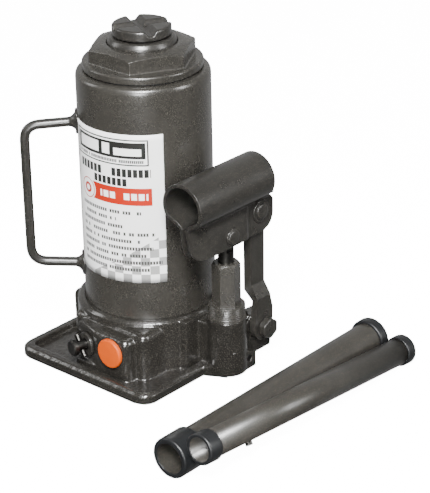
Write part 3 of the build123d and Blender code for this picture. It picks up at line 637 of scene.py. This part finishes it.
def carry_handle():
    out = Vector((math.cos(GRIP_AZ), math.sin(GRIP_AZ), 0))
    low, high = 58.8, 153.4
    bends = [(TANK_R - 0.8, low), (73.4, 61.2), (73.4, 151.6), (TANK_R - 0.8, high)]
    bend = 10.0
    flat = []
    for i, (r, z) in enumerate(bends):
        here = Vector((r, z))
        if i in (0, len(bends) - 1):
            flat.append(here)
            continue
        before = (Vector(bends[i - 1]) - here).normalized()
        after = (Vector(bends[i + 1]) - here).normalized()
        for k in range(13):
            t = k / 12
            start, end = here + before * bend, here + after * bend
            flat.append((1 - t) ** 2 * start + 2 * t * (1 - t) * here + t * t * end)
    dense = []
    for a, b in zip(flat, flat[1:]):
        steps = max(1, int((b - a).length / 0.9))
        dense += [a + (b - a) * (k / steps) for k in range(steps)]
    dense.append(flat[-1])
    path, widths = [], []
    for p in dense:
        path.append(out * p.x + Vector((0, 0, p.y)))
        near = max(0.0, 1.0 - (p.x - TANK_R) / 5.2)
        flare = near * near
        wobble = 0.05 * noise.noise(Vector((p.x, p.y, 0)) / 9.0)
        widths.append((3.0 + 4.4 * flare + wobble, 3.0 + 4.2 * flare + wobble))
    side = Vector((-math.sin(GRIP_AZ), math.cos(GRIP_AZ), 0))
    rod = sweep("carry_handle_rod", path, [(b, a) for a, b in widths], 32, side)
    stand_for(rod, "base", "dark_paint", "carry_handle")
    beads = []
    for index, z in enumerate((low, high)):
        ring, sizes = [], []
        for k in range(49):
            a = 2 * math.pi * k / 48
            across, tall = 6.6 * math.cos(a), 6.8 * math.sin(a)
            turn = GRIP_AZ + across / TANK_R
            ring.append(Vector((math.cos(turn) * (TANK_R + 0.2), math.sin(turn) * (TANK_R + 0.2), z + tall)))
            lump = 1.15 + 0.25 * noise.noise(Vector((across, tall, 9.0 * index)) / 1.6)
            sizes.append((lump, lump * 0.9))
        beads.append(sweep(f"weld_bead_{index}", ring, sizes, 12, out))
    for index, bead in enumerate(beads):
        nodes = ["carry_handle_welds"] if index == 0 else []
        stand_for(bead, "base", "dark_paint", *nodes)


def label_piece():
    cols, rows = 97, 25
    points, uvs = [], []
    radius = TANK_R + 0.16
    for i in range(rows):
        z = LABEL_LOW + (LABEL_HIGH - LABEL_LOW) * i / (rows - 1)
        for j in range(cols):
            a = LABEL_AZ + LABEL_SWEEP * j / (cols - 1)
            points.append((radius * math.cos(a), radius * math.sin(a), z))
            uvs.append(((a - LABEL_AZ) * TANK_R, z - LABEL_LOW))
    obj = add_object("label_sheet", points, grid_faces(rows, cols), uvs)
    bm = bmesh.new()
    bm.from_mesh(obj.data)
    bmesh.ops.recalc_face_normals(bm, faces=bm.faces)
    if sum(f.normal.dot(f.calc_center_median() * Vector((1, 1, 0))) for f in bm.faces) < 0:
        bmesh.ops.reverse_faces(bm, faces=bm.faces)
    bm.to_mesh(obj.data)
    bm.free()
    thick = obj.modifiers.new("film", "SOLIDIFY")
    thick.thickness = 0.12 * MM
    thick.offset = 1.0
    obj.data.shade_smooth()
    return stand_for(obj, "base", "label_film", "label")


def socket_side(z):
    """The pressed sheet's front and rear edge at a height, in millimetres."""
    outline = [
        (86.4, -24.0, 32.0), (88.0, -28.2, 36.2), (90.0, -30.5, 38.6), (93.0, -31.8, 40.4),
        (96.0, -32.8, 41.0), (105.0, -34.4, 41.0), (108.0, -34.8, 39.0), (110.0, -35.0, 36.5),
        (113.0, -35.5, 33.5), (117.0, -36.0, 31.0), (140.0, -36.0, 31.0),
    ]
    for (z0, f0, r0), (z1, f1, r1) in zip(outline, outline[1:]):
        if z <= z1:
            t = max(0.0, (z - z0) / (z1 - z0))
            return f0 + (f1 - f0) * t, r0 + (r1 - r0) * t
    return outline[-1][1:]


def step(value, low, high):
    t = max(0.0, min(1.0, (value - low) / (high - low)))
    return t * t * (3 - 2 * t)


def cheek_gap(y, z, side=1):
    """Half the gap at the middle of the sheet's thickness; only the outer cheek steps in at the link."""
    wide = 4.0 + SHEET_T / 2
    narrow = 2.6 + SHEET_T / 2
    front = 1.0 + SHEET_T / 2
    neck = 3.1 + SHEET_T / 2
    opened = front + (wide - front) * step(y, -34.0, -18.0)
    if side > 0:
        opened -= (wide - narrow) * step(y, 14.5, 17.5)
    return opened + (min(neck, opened) - opened) * step(z, 99.5, 106.5)


def socket_piece():
    """One pressed sheet: a round socket above, drawn to a neck, with two cheeks below."""
    middle_r = SOCKET_R - SHEET_T / 2
    neck_z, join = 107.5, math.radians(56)
    low_z = 86.4
    right = []
    for i in range(34):
        right.append(("cheek", low_z + (neck_z - low_z) * i / 33))
    for i in range(1, 14):
        right.append(("flare", i / 14))
    for i in range(0, 46):
        right.append(("round", i / 45))

    def spot(kind, t, y, side=1):
        if kind == "cheek":
            return cheek_gap(y, t, side), t
        end = Vector((middle_r * math.sin(join), SOCKET_Z - middle_r * math.cos(join)))
        if kind == "flare":
            start = Vector((cheek_gap(y, neck_z, side), neck_z))
            knee = Vector((start.x + 0.3, 110.6))
            p = (1 - t) ** 2 * start + 2 * t * (1 - t) * knee + t * t * end
            return p.x, p.y
        a = join + (math.pi - join) * t
        return middle_r * math.sin(a), SOCKET_Z - middle_r * math.cos(a)

    profile = [(1, kind, t) for kind, t in right]
    profile += [(-1, kind, t) for kind, t in reversed(right[:-1])]
    cols = 84
    rows = []
    for side, kind, t in profile:
        _, z = spot(kind, t, 0.0)
        front, rear = socket_side(z)
        row = []
        for j in range(cols):
            y = front + (rear - front) * j / (cols - 1)
            x, z_here = spot(kind, t, y, side)
            row.append(Vector((PUMP_X + side * x, y, z_here)))
        rows.append(row)
    count = len(rows)
    normals = []
    for i in range(count):
        line = []
        for j in range(cols):
            along = rows[min(i + 1, count - 1)][j] - rows[max(i - 1, 0)][j]
            across = rows[i][min(j + 1, cols - 1)] - rows[i][max(j - 1, 0)]
            line.append(across.cross(along).normalized())
        normals.append(line)
    layers = []
    for offset in (0.5, -0.5):
        layers.append([
            rows[i][j] + normals[i][j] * (SHEET_T * offset) for i in range(count) for j in range(cols)
        ])
    points = layers[0] + layers[1]
    faces = grid_faces(count, cols)
    size = count * cols
    faces += [tuple(size + v for v in reversed(face)) for face in grid_faces(count, cols)]
    border = [(0, j) for j in range(cols)] + [(i, cols - 1) for i in range(1, count)]
    border += [(count - 1, j) for j in reversed(range(cols - 1))]
    border += [(i, 0) for i in reversed(range(1, count - 1))]
    ids = [i * cols + j for i, j in border]
    for a, b in zip(ids, ids[1:] + ids[:1]):
        faces.append((a, b, size + b, size + a))
    obj = finish_mesh(add_object("socket_sheet", points, faces))
    edge = obj.modifiers.new("edge", "BEVEL")
    edge.width = 0.55 * MM
    edge.segments = 3
    edge.limit_method = "ANGLE"
    edge.angle_limit = math.radians(50)
    edge.harden_normals = True
    return stand_for(obj, "socket", "dark_paint", "handle_socket")


def pin_head(name, y, z, half, radius, washer_r):
    """A slightly domed riveted head over a thin pressed collar, on the outer cheek."""
    turn = Matrix.Translation(Vector((PUMP_X + half, y, z))) @ Matrix.Rotation(math.pi / 2, 4, "Y")
    corners = [
        (0, 0, 0), (washer_r, 0, 0), (washer_r, 0.75, 0.4), (radius + 0.3, 0.8, 0.1), (radius, 0.9, 0.1),
        (radius, 1.9, 0.9), (radius * 0.5, 2.25, 1.0), (0, 2.3, 0),
    ]
    return lathe(name, corners, turn, 64)


def pump_barrel():
    """Hexagonal pump barrel over its threaded neck."""
    place = Matrix.Translation(Vector((PUMP_X, PUMP_Y, 0)))
    thread = thread_radius(11.45, 0.75, 1.5, 39.2, 46.4, 0.4)
    neck = height_tube("pump_neck", thread, NECK_SLEEVE_BORE, 38.9, 46.6, 61, 160, place)
    dress("pump_cylinder", 0.5, 3)
    stand_for(neck, "base", "hammer_paint")


def tube_frame(near, far):
    """Local +Z runs from the tube's near end to its far end."""
    along = (far - near).normalized()
    side = along.cross(Vector((0, 0, 1))).normalized()
    over = side.cross(along)
    m = Matrix((side, over, along)).transposed().to_4x4()
    m.translation = near
    return m


def loose_handles():
    turn = math.radians(0.8)
    near_a = Vector((120.2, -114.9, 12.5))
    far_a = near_a + Vector((-math.sin(turn), math.cos(turn), 0)) * HANDLE_LENGTH
    near_b, far_b = Vector((140.0, -111.6, 24.3)), Vector((139.6, 80.2, 9.5))
    sets = (
        ("wide", near_a, far_a, 10.6, 9.3, 12.5, 18.0, 7.5),
        ("thin", near_b, far_b, 8.4, 7.3, 9.5, 10.0, 7.5),
    )
    for kind, near, far, outer, bore, collar, near_len, far_len in sets:
        place = tube_frame(near, far)
        length = HANDLE_LENGTH
        body = kind + "_handle"
        tube_node, collar_node = f"handle_tube_{kind}", f"handle_collars_{kind}"
        if kind == "wide":
            pipe = lathe(
                "pipe_" + kind,
                [(bore, 0.6, 0.2), (outer, 0.6, 0.3), (outer, length - 0.6, 0.3), (bore, length - 0.6, 0.2)],
                place, 96,
            )
            stand_for(pipe, body, "tube_paint", tube_node)
        else:
            dress(tube_node, 0.0)
        near_ring = lathe(
            "collar_near_" + kind,
            [
                (bore, 0, 0.6), (collar, 0, 1.6), (collar, near_len, 1.3), (outer, near_len, 0.3),
                (outer, 0.6, 0), (bore, 0.6, 0),
            ],
            place, 96,
        )
        far_ring = lathe(
            "collar_far_" + kind,
            [
                (bore, length, 0.6), (collar, length, 1.6), (collar, length - far_len, 1.3),
                (outer, length - far_len, 0.3), (outer, length - 0.6, 0), (bore, length - 0.6, 0),
            ],
            place, 96,
        )
        stand_for(near_ring, body, "collar_plastic", collar_node)
        stand_for(far_ring, body, "collar_plastic")


base_casting()
tank()
nut()
screw()
ram_piece()
carry_handle()
label_piece()
socket_piece()
pump_barrel()
loose_handles()
plunger_head = pin_head("plunger_pin_head", 1.0, 93.4, 6.5, 4.6, 5.4)
stand_for(plunger_head, "socket", "dark_paint")
link_head = pin_head("link_pin_head", 29.0, 100.5, 5.1, 4.9, 7.2)
stand_for(link_head, "socket", "dark_paint")

REPLACED = {name for o in bpy.data.objects for name in o.get("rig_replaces", [])}
SOFT_EDGES = {
    "pump_link": 0.7, "link_bolt": 0.8, "release_spindle": 0.5, "release_cross_pin": 0.4,
    "overload_valve_plug": 0.8, "release_valve_gland": 0.5, "oil_filler_plug": 0.6,
}
for name in sorted(NODES):
    if name in REPLACED or NODES[name].modifiers:
        continue
    dress(name, SOFT_EDGES.get(name, 0.2))


# ---------------------------------------------------------------- the studio

def camera():
    back = Vector((math.sin(AZ) * math.cos(EL), -math.cos(AZ) * math.cos(EL), math.sin(EL)))
    right = Vector((math.cos(AZ), math.sin(AZ), 0))
    up = back.cross(right)
    target = right * AIM_RIGHT + Vector((0, 0, AIM_UP))
    r = math.cos(ROLL) * right + math.sin(ROLL) * up
    u = -math.sin(ROLL) * right + math.cos(ROLL) * up
    data = bpy.data.cameras.new("camera")
    data.lens = LENS
    data.sensor_width = 36
    data.sensor_fit = "AUTO"
    cam = bpy.data.objects.new("camera", data)
    bpy.context.collection.objects.link(cam)
    m = Matrix((r, u, back)).transposed().to_4x4()
    m.translation = target + back * DISTANCE
    cam.matrix_world = m
    bpy.context.scene.camera = cam


def area_light(name, place, aim, size, power, colour=(1, 1, 1)):
    data = bpy.data.lights.new(name, "AREA")
    data.shape = "RECTANGLE"
    data.size, data.size_y = size
    data.energy = power
    data.color = colour
    lamp = bpy.data.objects.new(name, data)
    bpy.context.collection.objects.link(lamp)
    lamp.location = place
    lamp.rotation_euler = (Vector(aim) - Vector(place)).to_track_quat("-Z", "Y").to_euler()
    return lamp


def sky(world):
    """Soft light all round: dim in front and above, bright low down behind the object."""
    world.use_nodes = True
    tree = world.node_tree
    background = tree.nodes["Background"]
    background.inputs["Color"].default_value = (1, 1, 1, 1)
    coords = tree.nodes.new("ShaderNodeTexCoord")
    facing = tree.nodes.new("ShaderNodeVectorMath")
    facing.operation = "DOT_PRODUCT"
    facing.inputs[1].default_value = (-math.sin(AZ), math.cos(AZ), -0.15)
    tree.links.new(coords.outputs["Generated"], facing.inputs[0])
    glow = tree.nodes.new("ShaderNodeMapRange")
    glow.inputs["From Min"].default_value = 0.15
    glow.inputs["From Max"].default_value = 0.85
    glow.inputs["To Min"].default_value = WORLD_FRONT
    glow.inputs["To Max"].default_value = WORLD_BACK
    tree.links.new(facing.outputs["Value"], glow.inputs["Value"])
    tree.links.new(glow.outputs["Result"], background.inputs["Strength"])


def around(azimuth, elevation, distance):
    """A place seen from the object at an azimuth and elevation in degrees."""
    az, el = math.radians(azimuth), math.radians(elevation)
    flat = Vector((math.sin(az) * math.cos(el), -math.cos(az) * math.cos(el), math.sin(el)))
    return flat * distance + Vector(LIGHT_AIM)


def studio():
    s = Shader("floor_white")
    tone = s.mix(s.spread(s.noise(6.0, 3.0), 0.3, 0.7), (0.80, 0.80, 0.80), (0.82, 0.82, 0.82))
    s.set(Base_Color=tone, Roughness=s.spread(s.noise(200.0, 3.0), 0.3, 0.7, 0.85, 0.95))
    s.bsdf.inputs["Specular IOR Level"].default_value = 0.1
    s.bsdf.inputs["Emission Color"].default_value = (1, 1, 1, 1)
    s.bsdf.inputs["Emission Strength"].default_value = FLOOR_GLOW
    half = FLOOR_HALF
    corners = [(-half, -half, 0), (half, -half, 0), (half, half, 0), (-half, half, 0)]
    floor = add_object("floor", corners, [(0, 1, 2, 3)])
    floor.location.z = -0.0002
    floor.data.materials.append(s.material)
    # The lit floor is a backdrop: it neither lights the object nor shows in its gloss
    floor.visible_diffuse = False
    floor.visible_glossy = False
    world = bpy.data.worlds.new("world")
    bpy.context.scene.world = world
    sky(world)
    area_light("key", around(40, 44, 2.0), LIGHT_AIM, (0.55, 0.50), KEY_POWER)
    area_light("front", around(36, 8, 2.2), LIGHT_AIM, (0.45, 0.9), FRONT_POWER)
    area_light("left", around(-60, 25, 2.0), LIGHT_AIM, (0.4, 1.0), LEFT_POWER)
    area_light("right", around(112, 22, 2.0), LIGHT_AIM, (0.4, 1.0), RIGHT_POWER)


camera()
studio()
